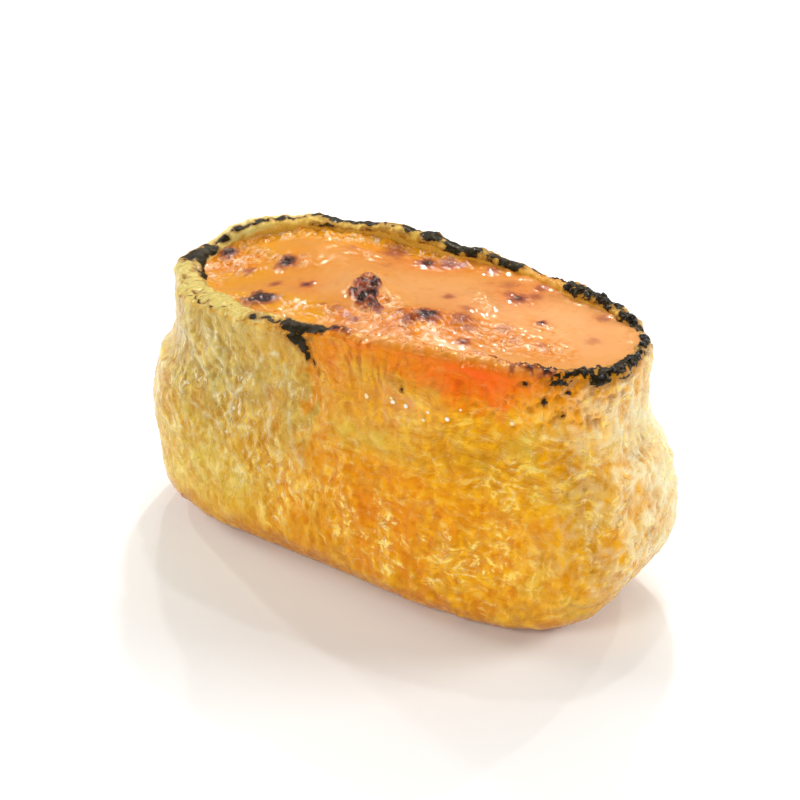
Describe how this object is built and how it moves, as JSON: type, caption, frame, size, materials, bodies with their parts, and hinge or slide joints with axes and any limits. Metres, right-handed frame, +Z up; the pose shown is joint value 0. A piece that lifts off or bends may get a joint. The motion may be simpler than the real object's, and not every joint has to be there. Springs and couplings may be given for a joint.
{
  "type": "inari sushi",
  "caption": "Inari sushi: an upright open pouch of fried tofu skin, oval at the mouth, filled to just under its rim with a creamy seared topping.",
  "frame": {"origin": "the middle of the flat base, at the level that the pouch rests on", "axes": "+Z up, +X along the pouch towards the end with the tucked corner, -Y its long front side"},
  "size_m": [0.0717, 0.0323, 0.0383],
  "materials": {
    "tofu_skin": "moist, spongy fried tofu skin, pale yellow to golden, charred black along the rim",
    "seared_sauce": "glossy peach-orange creamy sauce, torched to reddish brown spots"
  },
  "bodies": {
    "root": {"pouch": "tofu_skin", "filling": "seared_sauce"}
  },
  "joints": []
}
